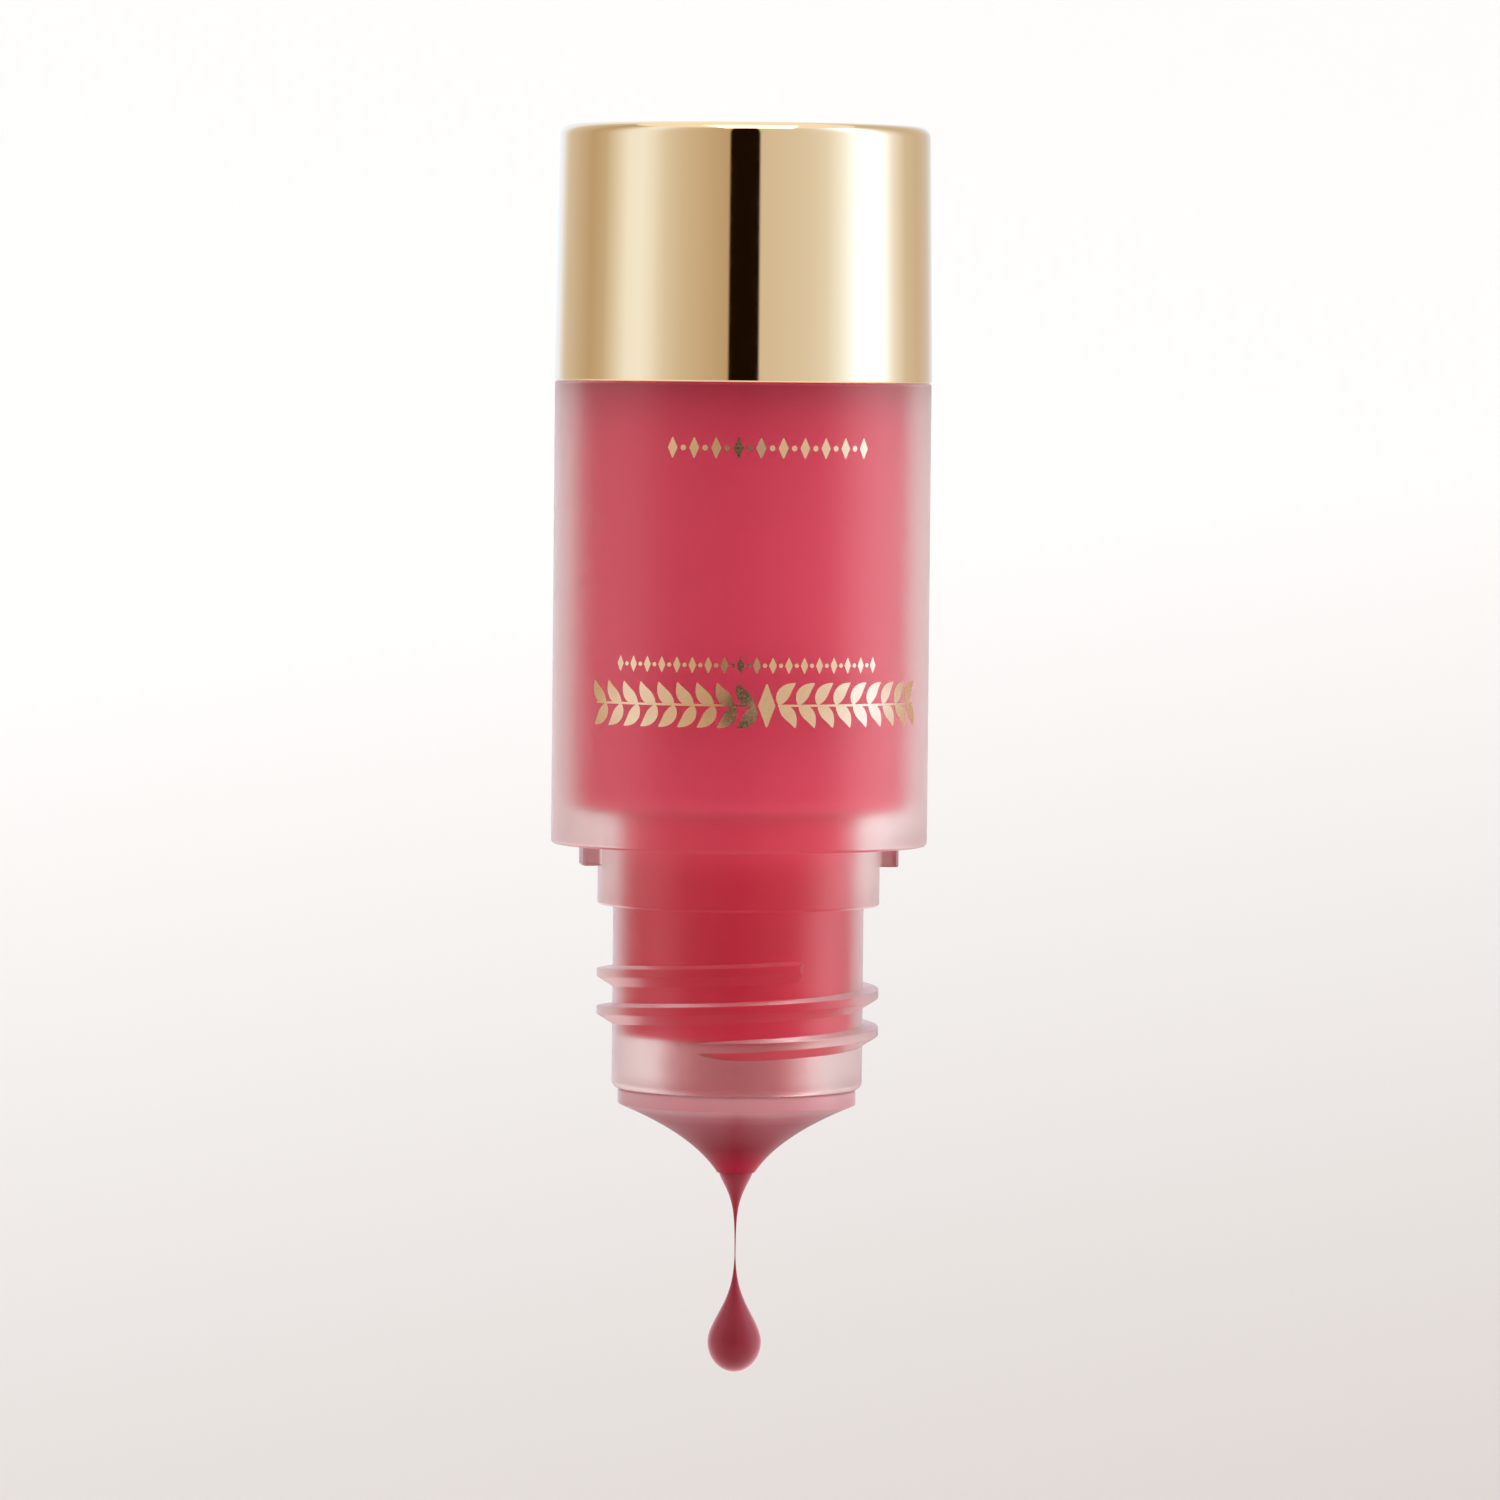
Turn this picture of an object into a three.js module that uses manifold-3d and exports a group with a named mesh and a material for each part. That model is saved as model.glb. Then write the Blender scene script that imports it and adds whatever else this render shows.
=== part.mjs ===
// A lip gloss bottle held neck down, with a dripping nozzle plug, in millimetres.
// +Z is up. The origin is the centre of the base shell's flat end face, and everything hangs below it,
// so places along the axis are depths below that face. The front of the bottle faces -Y.

import * as THREE from "three";
import { mergeVertices } from "three/addons/utils/BufferGeometryUtils.js";
import Module from "manifold-3d";

const wasm = await Module();
wasm.setup();

// How finely round shapes are divided
const ROUND_STEPS = 48;
const DRIP_STEPS = 24;
const ARC_TOLERANCE = 0.05;
const CURVE_STEPS = 8;

// Clearances between neighbouring pieces
const SEAT_GAP = 0.1;
const FIT_GAP = 0.3;

// Bottle: body, heel and chamber
const BODY_RADIUS = 12.0;
const BODY_WALL = 4.75;
const BODY_EDGE = 0.25;
const SEAM_DEPTH = 16.35;
const SEAM_EDGE = 0.12;
const SHOULDER_DEPTH = 45.8;
const SHOULDER_WALL = 2.1;
const CHAMBER_CORNER = 0.8;
const CHAMBER_TOP_CORNER = 1.5;
const HEEL_RADIUS = 10.6;
const HEEL_END_WALL = 2.0;
const HEEL_EDGE = 0.6;

// Bottle: collar, neck and mouth
const COLLAR_RADIUS = 9.0;
const COLLAR_DEPTH = 49.65;
const COLLAR_EDGE = 0.18;
const NECK_RADIUS = 8.0;
const MOUTH_DEPTH = 61.4;
const MOUTH_EDGE = 0.45;
const BORE_RADIUS = 5.05;
const BORE_TOP_ROUNDING = 0.8;
const BORE_MOUTH_ROUNDING = 0.2;

// Bottle: one right-hand buttress thread, its steep flank facing the shoulder
const THREAD_HEIGHT = 1.0;
const THREAD_CREST = 0.54;
const THREAD_STEEP_FLANK = 0.18;
const THREAD_SLOPED_FLANK = 0.64;
const THREAD_EMBED = 0.4;
const THREAD_PITCH = 2.4;
const THREAD_TOP_DEPTH = 53.22;
const THREAD_START = THREE.MathUtils.degToRad(33);
const THREAD_SWEEP = THREE.MathUtils.degToRad(784);
const THREAD_TOP_RUNOUT = THREE.MathUtils.degToRad(7);
const THREAD_MOUTH_RUNOUT = THREE.MathUtils.degToRad(45);

// Bottle: two stop lugs on the shoulder
const LUG_RADIUS = 10.2;
const LUG_HEIGHT = 1.35;
const LUG_ANGLE = THREE.MathUtils.degToRad(19);
const LUG_AZIMUTH = THREE.MathUtils.degToRad(-84.7);
const LUG_EMBED = 0.3;

// Base shell, the snap bead that holds it, and the weight inside it
const SHELL_END_RADIUS = 11.8;
const SHELL_RIM_RADIUS = 12.05;
const SHELL_END_EDGE = 0.75;
const SHELL_RIM_EDGE = 0.15;
const SHELL_END_WALL = 1.0;
const SHELL_CORNER = 0.4;
const BEAD_DEPTH = 12.4;
const BEAD_HEIGHT = 0.25;
const BEAD_CREST = 0.4;
const BEAD_FLANK = 0.4;
const WEIGHT_THICKNESS = 4.1;
const WEIGHT_RADIUS = 10.3;
const WEIGHT_EDGE = 0.5;

// Nozzle plug
const BARREL_RADIUS = 4.75;
const BARREL_BORE = 4.2;
const BARREL_LENGTH = 3.3;
const BARREL_LEAD_IN = 0.35;
const SEAL_BEAD_HEIGHT = 0.2;
const SEAL_BEAD_HALF = 0.3;
const FLANGE_RADIUS = 7.6;
const FLANGE_DEPTH = 62.5;
const FLANGE_EDGE = 0.25;
const NOZZLE_ROOT_RADIUS = 7.35;
const NOZZLE_TIP_RADIUS = 1.21;
const NOZZLE_TIP_DEPTH = 66.8;
const NOZZLE_CURVE = { radius: 2.8, depth: 64.4 };
const NOZZLE_BORE_CURVE = { radius: 1.5, depth: 64.1 };
const ORIFICE_RADIUS = 0.75;

// Gloss: its level in the bottle, and the drip below the nozzle
const GLOSS_LEVEL = 15.0;
const NECKING = { radius: 1.05, length: 1.5, power: 1.45 };
const STRAND_RADIUS = 0.03;
const DROP = { end: 79.6, radius: 1.72, roundLength: 1.92, tailLength: 2.65, tailPower: 1.9 };
const DRIP_POINTS = 26;

// Sizes that follow from the ones above
const CHAMBER_RADIUS = BODY_RADIUS - BODY_WALL;
const CHAMBER_FLOOR = SHOULDER_DEPTH - SHOULDER_WALL;
const SHELL_BORE = HEEL_RADIUS + FIT_GAP;
const WEIGHT_TOP = SHELL_END_WALL + FIT_GAP;
const WEIGHT_BOTTOM = WEIGHT_TOP + WEIGHT_THICKNESS;
const HEEL_TOP = WEIGHT_BOTTOM + FIT_GAP;
const CHAMBER_TOP = HEEL_TOP + HEEL_END_WALL;
const BARREL_TOP = MOUTH_DEPTH - BARREL_LENGTH;

// An outline through [radius, depth, rounding] corners, with each rounding drawn as a tangent arc.
function outline(corners) {
  const places = corners.map(([radius, depth]) => new THREE.Vector2(radius, -depth));
  return corners.flatMap(([, , rounding], index) => {
    if (!rounding) {
      return [places[index]];
    }
    return tangentArc(places[index - 1], places[index], places[index + 1], rounding);
  });
}

function tangentArc(before, corner, after, rounding) {
  const back = before.clone().sub(corner).normalize();
  const ahead = after.clone().sub(corner).normalize();
  const half = Math.acos(back.dot(ahead)) / 2;
  const centre = back.clone().add(ahead).setLength(rounding / Math.sin(half)).add(corner);
  const first = back.clone().multiplyScalar(rounding / Math.tan(half)).add(corner).sub(centre);
  const turn = Math.sign(back.cross(ahead)) * (2 * half - Math.PI);
  const stepTurn = 2 * Math.acos(1 - ARC_TOLERANCE / rounding);
  const steps = Math.ceil(Math.abs(turn) / stepTurn);
  return Array.from({ length: steps + 1 }, (_, step) =>
    first.clone().rotateAround(new THREE.Vector2(), (turn * step) / steps).add(centre));
}

// A profile of one bead or groove on a wall, seen from the mouth side towards the base.
function beadCorners(wall, height, centreDepth, crest, flank) {
  return [
    [wall, centreDepth + crest / 2 + flank],
    [wall + height, centreDepth + crest / 2],
    [wall + height, centreDepth - crest / 2],
    [wall, centreDepth - crest / 2 - flank],
  ];
}

function curvePoints(from, bend, to) {
  const [start, middle, end] = [from, bend, to].map((p) => new THREE.Vector2(p.radius, -p.depth));
  return new THREE.QuadraticBezierCurve(start, middle, end).getPoints(CURVE_STEPS);
}

function turned(profile, steps = ROUND_STEPS) {
  const geometry = new THREE.LatheGeometry(profile, steps);
  geometry.rotateX(Math.PI / 2);
  return geometry;
}

function closedRing(profile, steps = ROUND_STEPS) {
  return turned([...profile, profile[0].clone()], steps);
}

// Booleans work on bare welded triangles.
function asSolid(geometry) {
  const bare = geometry.clone();
  bare.deleteAttribute("normal");
  bare.deleteAttribute("uv");
  const welded = mergeVertices(bare);
  const triangles = [];
  for (let i = 0; i < welded.index.count; i += 3) {
    const [a, b, c] = welded.index.array.slice(i, i + 3);
    if (a !== b && b !== c && c !== a) {
      triangles.push(a, b, c);
    }
  }
  return new wasm.Manifold(new wasm.Mesh({
    numProp: 3,
    vertProperties: new Float32Array(welded.attributes.position.array),
    triVerts: new Uint32Array(triangles),
  }));
}

function asGeometry(solid) {
  const mesh = solid.getMesh();
  const geometry = new THREE.BufferGeometry();
  geometry.setAttribute("position", new THREE.BufferAttribute(mesh.vertProperties, mesh.numProp));
  geometry.setIndex(new THREE.BufferAttribute(mesh.triVerts, 1));
  geometry.computeVertexNormals();
  return geometry;
}

// An azimuth is measured from the front, positive towards +X.
function around(radius, azimuth, depth) {
  return new THREE.Vector3(radius * Math.sin(azimuth), -radius * Math.cos(azimuth), -depth);
}

function bottleBody() {
  return turned(outline([
    [0, CHAMBER_TOP],
    [CHAMBER_RADIUS, CHAMBER_TOP, CHAMBER_TOP_CORNER],
    [CHAMBER_RADIUS, CHAMBER_FLOOR, CHAMBER_CORNER],
    [BORE_RADIUS, CHAMBER_FLOOR, BORE_TOP_ROUNDING],
    [BORE_RADIUS, MOUTH_DEPTH, BORE_MOUTH_ROUNDING],
    [NECK_RADIUS, MOUTH_DEPTH, MOUTH_EDGE],
    [NECK_RADIUS, COLLAR_DEPTH],
    [COLLAR_RADIUS, COLLAR_DEPTH, COLLAR_EDGE],
    [COLLAR_RADIUS, SHOULDER_DEPTH],
    [BODY_RADIUS, SHOULDER_DEPTH, BODY_EDGE],
    [BODY_RADIUS, SEAM_DEPTH, SEAM_EDGE],
    [HEEL_RADIUS, SEAM_DEPTH],
    ...beadCorners(HEEL_RADIUS, BEAD_HEIGHT, BEAD_DEPTH, BEAD_CREST, BEAD_FLANK),
    [HEEL_RADIUS, HEEL_TOP, HEEL_EDGE],
    [0, HEEL_TOP],
  ]));
}

// The section is extruded straight, then wound round the neck, sinking into it at both ends.
// Its flanks run on below the neck's surface, so that the join with the neck is clean.
function threadRidge() {
  const upper = (radial) => THREAD_CREST / 2 + THREAD_STEEP_FLANK * (1 - radial / THREAD_HEIGHT);
  const lower = (radial) => -THREAD_CREST / 2 - THREAD_SLOPED_FLANK * (1 - radial / THREAD_HEIGHT);
  const section = new THREE.Shape([
    new THREE.Vector2(-THREAD_EMBED, upper(-THREAD_EMBED)),
    new THREE.Vector2(-THREAD_EMBED, lower(-THREAD_EMBED)),
    new THREE.Vector2(THREAD_HEIGHT, lower(THREAD_HEIGHT)),
    new THREE.Vector2(THREAD_HEIGHT, upper(THREAD_HEIGHT)),
  ]);
  const steps = Math.round((THREAD_SWEEP / (2 * Math.PI)) * ROUND_STEPS);
  const geometry = new THREE.ExtrudeGeometry(section, { depth: 1, steps, bevelEnabled: false });
  const position = geometry.attributes.position;
  for (let i = 0; i < position.count; i += 1) {
    const swept = position.getZ(i) * THREAD_SWEEP;
    const rise = Math.min(
      THREE.MathUtils.smoothstep(swept, 0, THREAD_TOP_RUNOUT),
      THREE.MathUtils.smoothstep(THREAD_SWEEP - swept, 0, THREAD_MOUTH_RUNOUT),
    );
    const crest = THREE.MathUtils.lerp(-THREAD_EMBED / 2, THREAD_HEIGHT, rise);
    const radius = NECK_RADIUS + Math.min(position.getX(i), crest);
    const depth = THREAD_TOP_DEPTH + (THREAD_PITCH * swept) / (2 * Math.PI) - position.getY(i);
    position.setXYZ(i, ...around(radius, THREAD_START - swept, depth));
  }
  return geometry;
}

function stopLug(azimuth) {
  const section = new THREE.Shape();
  section.absarc(0, 0, LUG_RADIUS, -LUG_ANGLE / 2, LUG_ANGLE / 2, false);
  section.absarc(0, 0, COLLAR_RADIUS - LUG_EMBED, LUG_ANGLE / 2, -LUG_ANGLE / 2, true);
  const geometry = new THREE.ExtrudeGeometry(section, {
    depth: LUG_HEIGHT + LUG_EMBED,
    curveSegments: 4,
    bevelEnabled: false,
  });
  geometry.rotateZ(azimuth - Math.PI / 2);
  geometry.translate(0, 0, -SHOULDER_DEPTH - LUG_HEIGHT);
  return geometry;
}

function bottle() {
  return asGeometry([threadRidge(), stopLug(LUG_AZIMUTH), stopLug(LUG_AZIMUTH + Math.PI)]
    .reduce((solid, addition) => solid.add(asSolid(addition)), asSolid(bottleBody())));
}

function baseShell() {
  const rimDepth = SEAM_DEPTH - SEAT_GAP;
  const groove = beadCorners(SHELL_BORE, BEAD_HEIGHT, BEAD_DEPTH, BEAD_CREST, BEAD_FLANK);
  return turned(outline([
    [0, SHELL_END_WALL],
    [SHELL_BORE, SHELL_END_WALL, SHELL_CORNER],
    ...groove.reverse(),
    [SHELL_BORE, rimDepth, SHELL_RIM_EDGE],
    [SHELL_RIM_RADIUS, rimDepth, SHELL_RIM_EDGE],
    [SHELL_END_RADIUS, 0, SHELL_END_EDGE],
    [0, 0],
  ]));
}

function baseWeight() {
  return turned(outline([
    [0, WEIGHT_BOTTOM],
    [WEIGHT_RADIUS, WEIGHT_BOTTOM, WEIGHT_EDGE],
    [WEIGHT_RADIUS, WEIGHT_TOP, WEIGHT_EDGE],
    [0, WEIGHT_TOP],
  ]));
}

function nozzlePlug() {
  const tip = { radius: NOZZLE_TIP_RADIUS, depth: NOZZLE_TIP_DEPTH };
  const root = { radius: NOZZLE_ROOT_RADIUS, depth: FLANGE_DEPTH };
  const orifice = { radius: ORIFICE_RADIUS, depth: NOZZLE_TIP_DEPTH };
  const boreTop = { radius: BARREL_BORE, depth: MOUTH_DEPTH };
  const barrel = outline([
    [NOZZLE_ROOT_RADIUS, FLANGE_DEPTH],
    [FLANGE_RADIUS, FLANGE_DEPTH - FLANGE_EDGE],
    [FLANGE_RADIUS, MOUTH_DEPTH + SEAT_GAP, FLANGE_EDGE / 2],
    [BARREL_RADIUS, MOUTH_DEPTH + SEAT_GAP],
    [BARREL_RADIUS, (BARREL_TOP + MOUTH_DEPTH) / 2 + SEAL_BEAD_HALF],
    [BARREL_RADIUS + SEAL_BEAD_HEIGHT, (BARREL_TOP + MOUTH_DEPTH) / 2],
    [BARREL_RADIUS, (BARREL_TOP + MOUTH_DEPTH) / 2 - SEAL_BEAD_HALF],
    [BARREL_RADIUS, BARREL_TOP + BARREL_LEAD_IN],
    [BARREL_RADIUS - BARREL_LEAD_IN, BARREL_TOP],
    [BARREL_BORE, BARREL_TOP],
  ]);
  return closedRing([
    ...curvePoints(tip, NOZZLE_CURVE, root),
    ...barrel.slice(1),
    ...curvePoints(boreTop, NOZZLE_BORE_CURVE, orifice),
  ]);
}

// Inside the bottle the gloss stops at its level above, and at the plug's barrel below.
function glossFill() {
  const bottom = BARREL_TOP - SEAT_GAP;
  const floor = CHAMBER_FLOOR - SEAT_GAP;
  return turned(outline([
    [0, bottom],
    [BORE_RADIUS - SEAT_GAP, bottom],
    [BORE_RADIUS - SEAT_GAP, floor, BORE_TOP_ROUNDING + SEAT_GAP],
    [CHAMBER_RADIUS - SEAT_GAP, floor, CHAMBER_CORNER - SEAT_GAP],
    [CHAMBER_RADIUS - SEAT_GAP, GLOSS_LEVEL],
    [0, GLOSS_LEVEL],
  ]));
}

// The liquid necks down from the nozzle's rim to a fine strand, and ends in a round drop.
function dripRadius(depth) {
  const below = Math.max(depth - NOZZLE_TIP_DEPTH, 0);
  const necking = NECKING.radius * Math.exp(-((below / NECKING.length) ** NECKING.power));
  const height = DROP.end - depth;
  if (height < DROP.roundLength) {
    const rise = 1 - height / DROP.roundLength;
    return DROP.radius * Math.sqrt(1 - rise * rise);
  }
  const tail = Math.exp(-(((height - DROP.roundLength) / DROP.tailLength) ** DROP.tailPower));
  return Math.max(necking + STRAND_RADIUS, DROP.radius * tail);
}

// The points crowd together towards the drop's end, where its outline turns fastest.
function dripDepth(share) {
  const top = NOZZLE_TIP_DEPTH + SEAT_GAP;
  return top + (DROP.end - top) * Math.sin((share * Math.PI) / 2);
}

function glossDrip() {
  const outside = Array.from({ length: DRIP_POINTS + 1 }, (_, index) => {
    const depth = dripDepth(1 - index / DRIP_POINTS);
    return new THREE.Vector2(index ? dripRadius(depth) : 0, -depth);
  });
  const inside = curvePoints(
    { radius: ORIFICE_RADIUS - SEAT_GAP, depth: NOZZLE_TIP_DEPTH },
    { radius: NOZZLE_BORE_CURVE.radius - SEAT_GAP, depth: NOZZLE_BORE_CURVE.depth - SEAT_GAP },
    { radius: BARREL_BORE - SEAT_GAP, depth: MOUTH_DEPTH - SEAT_GAP },
  );
  const top = outline([
    [BARREL_BORE - SEAT_GAP, BARREL_TOP + SEAT_GAP],
    [0, BARREL_TOP + SEAT_GAP],
  ]);
  return turned([...outside, ...inside, ...top], DRIP_STEPS);
}

function piece(name, geometry, colour, roughness, metalness, opacity = 1) {
  const material = new THREE.MeshStandardMaterial({
    color: colour,
    roughness,
    metalness,
    opacity,
    transparent: opacity < 1,
  });
  const mesh = new THREE.Mesh(geometry, material);
  mesh.name = name;
  return mesh;
}

const lipGlossBottle = new THREE.Group();
lipGlossBottle.add(
  piece("base_shell", baseShell(), 0xd4ab72, 0.08, 1),
  piece("base_weight", baseWeight(), 0x8d9196, 0.35, 1),
  piece("bottle", bottle(), 0xe6bcc0, 0.5, 0, 0.5),
  piece("nozzle_plug", nozzlePlug(), 0xe8d6d3, 0.45, 0, 0.7),
  piece("gloss_fill", glossFill(), 0xb5314c, 0.1, 0),
  piece("gloss_drip", glossDrip(), 0xa52a42, 0.08, 0),
);

export default lipGlossBottle;
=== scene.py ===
"""The looks of a lip gloss bottle held neck down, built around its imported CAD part.

The origin is the centre of the gold base's end face, so places along the axis are depths below it.
Sizes are in millimetres, and vertices are turned into metres as each mesh is made.
An azimuth is measured from the printed front, which faces -Y, and grows towards +X.
"""

import math

import bmesh
import bpy
from mathutils import Matrix, Vector


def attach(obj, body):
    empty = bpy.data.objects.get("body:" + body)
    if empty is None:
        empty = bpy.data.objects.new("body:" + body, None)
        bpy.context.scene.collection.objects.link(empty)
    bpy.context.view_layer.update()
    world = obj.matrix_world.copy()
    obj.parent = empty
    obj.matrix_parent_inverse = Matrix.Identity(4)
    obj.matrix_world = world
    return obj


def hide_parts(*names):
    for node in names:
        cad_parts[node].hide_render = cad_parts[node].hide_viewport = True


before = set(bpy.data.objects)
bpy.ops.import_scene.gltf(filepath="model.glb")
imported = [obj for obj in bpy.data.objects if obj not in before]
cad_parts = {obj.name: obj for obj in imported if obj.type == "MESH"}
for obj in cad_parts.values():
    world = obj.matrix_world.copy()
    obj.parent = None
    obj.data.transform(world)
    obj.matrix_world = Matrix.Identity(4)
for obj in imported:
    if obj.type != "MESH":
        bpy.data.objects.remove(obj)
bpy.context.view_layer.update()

MM = 0.001
SEGMENTS = 256
ARC_STEP = math.radians(10)
SUPPORT = 0.06
AXIS_TOLERANCE = 1e-6

# Bottle
BODY_RADIUS = 12.0
BODY_WALL = 4.75
SHOULDER_WALL = 2.1
BODY_EDGE = 0.25
SEAM_DEPTH = 16.35
SEAM_EDGE = 0.12
SHOULDER_DEPTH = 45.8
CHAMBER_FLOOR = SHOULDER_DEPTH - SHOULDER_WALL
CHAMBER_RADIUS = BODY_RADIUS - BODY_WALL
CHAMBER_CORNER = 0.8
CHAMBER_TOP = 7.7
CHAMBER_TOP_CORNER = 1.5
HEEL_RADIUS = 10.6
HEEL_TOP = 5.7
HEEL_EDGE = 0.6
COLLAR_RADIUS = 9.0
COLLAR_DEPTH = 49.65
COLLAR_EDGE = 0.18
NECK_RADIUS = 8.0
MOUTH_DEPTH = 61.4
MOUTH_EDGE = 0.45
BORE_RADIUS = 5.05
BORE_TOP_ROUNDING = 0.8
BORE_MOUTH_ROUNDING = 0.2

# Thread and stop lugs
THREAD_HEIGHT = 1.0
THREAD_CREST = 0.54
THREAD_STEEP_FLANK = 0.18
THREAD_SLOPED_FLANK = 0.64
THREAD_EMBED = 0.4
THREAD_ROUNDING = 0.06
THREAD_PITCH = 2.4
THREAD_TOP_DEPTH = 53.22
THREAD_START = math.radians(33)
THREAD_SWEEP = math.radians(784)
THREAD_TOP_RUNOUT = math.radians(7)
THREAD_MOUTH_RUNOUT = math.radians(45)
LUG_RADIUS = 10.2
LUG_HEIGHT = 1.35
LUG_ANGLE = math.radians(19)
LUG_AZIMUTH = math.radians(-84.7)
LUG_EMBED = 0.3
LUG_ROUNDING = 0.14
LUG_SIDE_STEPS = 12
LUG_EDGE_STEPS = 5

# Base shell
SHELL_END_RADIUS = 11.8
SHELL_END_EDGE = 0.75
SHELL_END_WALL = 1.0
SHELL_RIM_RADIUS = 12.05
SHELL_RIM_DEPTH = 16.31
SHELL_RIM_EDGE = 0.15
SHELL_BORE = 10.9
SHELL_CORNER = 0.4
BEAD_DEPTH = 12.4
BEAD_HEIGHT = 0.25
BEAD_CREST = 0.4
BEAD_FLANK = 0.4

# Nozzle plug
BARREL_RADIUS = 4.75
SEAL_BEAD_HEIGHT = 0.2
SEAL_BEAD_HALF = 0.3
BARREL_BORE = 4.2
BARREL_BORE_EDGE = 0.2
BARREL_TOP = 58.1
BARREL_LEAD_IN = 0.35
FLANGE_RADIUS = 7.6
FLANGE_TOP = 61.45
FLANGE_TOP_EDGE = 0.15
FLANGE_DEPTH = 62.5
FLANGE_RISE = 0.12
FLANGE_LOWER_EDGE = 0.1
NOZZLE_ROOT = (7.35, 62.5)
NOZZLE_BEND = (2.8, 64.4)
NOZZLE_TIP = (1.21, 66.8)
NOZZLE_BORE_BEND = (1.5, 64.1)
ORIFICE_RADIUS = 0.75
NOZZLE_CURVE_STEPS = 28

# Gloss. It wets the walls, so its surface sinks a little into them. Its pieces end just short of one another.
WETTING = 0.03
BARREL_JOINT = 0.02
ORIFICE_JOINT = 0.01
GLOSS_LEVEL = 15.0
NECKING = {"radius": 1.05, "length": 1.5, "power": 1.45}
STRAND_RADIUS = 0.03
DROP = {"end": 79.6, "radius": 1.72, "round": 1.92, "tail": 2.65, "power": 1.9}
DRIP_POINTS = 110


# ---------------------------------------------------------------- mesh tools


def tangent_arc(before, corner, after, rounding):
    """The points of an arc that rounds a corner of an outline, ends included."""
    back = (before - corner).normalized()
    ahead = (after - corner).normalized()
    half = back.angle(ahead) / 2
    centre = corner + (back + ahead).normalized() * (rounding / math.sin(half))
    first = corner + back * (rounding / math.tan(half)) - centre
    turn = math.copysign(math.pi - 2 * half, -(back.x * ahead.y - back.y * ahead.x))
    steps = max(2, math.ceil(abs(turn) / ARC_STEP))
    return [centre + Matrix.Rotation(turn * step / steps, 2) @ first for step in range(steps + 1)]


def outline(corners):
    """An outline through (radius, depth, rounding) corners, with each rounding drawn as an arc."""
    places = [Vector((corner[0], -corner[1])) for corner in corners]
    points = []
    for index, corner in enumerate(corners):
        if len(corner) > 2:
            points += tangent_arc(places[index - 1], places[index], places[index + 1], corner[2])
        else:
            points.append(places[index])
    return with_supports(points)


def with_supports(points):
    """Adds a point close to both ends of each long straight stretch, which keeps its shading flat."""
    supported = [points[0]]
    for start, end in zip(points, points[1:]):
        along = end - start
        if along.length > 4 * SUPPORT:
            supported += [start + along.normalized() * SUPPORT, end - along.normalized() * SUPPORT]
        supported.append(end)
    return supported


def curve(start, bend, end):
    """A quadratic curve from one (radius, depth) to another."""
    a, b, c = (Vector((radius, -depth)) for radius, depth in (start, bend, end))
    shares = [step / NOZZLE_CURVE_STEPS for step in range(NOZZLE_CURVE_STEPS + 1)]
    return [a * (1 - t) ** 2 + b * 2 * t * (1 - t) + c * t**2 for t in shares]


def bead(wall):
    """A bead or groove on a wall, from its deep end to its shallow end."""
    half = BEAD_CREST / 2
    return [
        (wall, BEAD_DEPTH + half + BEAD_FLANK),
        (wall + BEAD_HEIGHT, BEAD_DEPTH + half),
        (wall + BEAD_HEIGHT, BEAD_DEPTH - half),
        (wall, BEAD_DEPTH - half - BEAD_FLANK),
    ]


def around(radius, azimuth, depth):
    return Vector((radius * math.sin(azimuth), -radius * math.cos(azimuth), -depth)) * MM


def full_turn(count):
    return [2 * math.pi * index / count for index in range(count)]


def bridge(mesh, lower, upper):
    """Joins two rings of points with faces. A ring of one point closes the other to a tip."""
    count = max(len(lower), len(upper))
    for index in range(count):
        following = (index + 1) % count
        corners = [lower[index % len(lower)], lower[following % len(lower)]]
        corners += [upper[following % len(upper)], upper[index % len(upper)]]
        mesh.faces.new(list(dict.fromkeys(corners)))


def turned(name, profile, closed=False):
    """Revolves a profile about the axis. An open profile starts and ends on the axis."""
    mesh = bmesh.new()
    rings = []
    for point in profile:
        if point.x < AXIS_TOLERANCE:
            rings.append([mesh.verts.new(around(0, 0, -point.y))])
            continue
        turns = full_turn(SEGMENTS)
        rings.append([mesh.verts.new(around(point.x, turn, -point.y)) for turn in turns])
    for lower, upper in zip(rings, rings[1:]):
        bridge(mesh, lower, upper)
    if closed:
        bridge(mesh, rings[-1], rings[0])
    return as_object(name, mesh)


def as_object(name, mesh, sharp_degrees=35):
    bmesh.ops.recalc_face_normals(mesh, faces=mesh.faces)
    data = bpy.data.meshes.new(name)
    mesh.to_mesh(data)
    mesh.free()
    made = bpy.data.objects.new(name, data)
    bpy.context.scene.collection.objects.link(made)
    smooth(made, sharp_degrees)
    return made


def smooth(made, sharp_degrees):
    for polygon in made.data.polygons:
        polygon.use_smooth = True
    made.data.set_sharp_from_angle(angle=math.radians(sharp_degrees))


def prism(sections):
    """Joins equal loops of points into one closed body."""
    mesh = bmesh.new()
    loops = [[mesh.verts.new(point) for point in section] for section in sections]
    for lower, upper in zip(loops, loops[1:]):
        bridge(mesh, lower, upper)
    mesh.faces.new(list(reversed(loops[0])))
    mesh.faces.new(loops[-1])
    return mesh


def join_solids(base, additions):
    """Unites closed bodies into the first one."""
    for addition in additions:
        union = base.modifiers.new("union", "BOOLEAN")
        union.operation = "UNION"
        union.solver = "EXACT"
        union.object = addition
    graph = bpy.context.evaluated_depsgraph_get()
    joined = bpy.data.meshes.new_from_object(base.evaluated_get(graph))
    base.modifiers.clear()
    base.data = joined
    for addition in additions:
        bpy.data.objects.remove(addition)
    smooth(base, sharp_degrees=30)
    return base


# ---------------------------------------------------------------- the object


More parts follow.
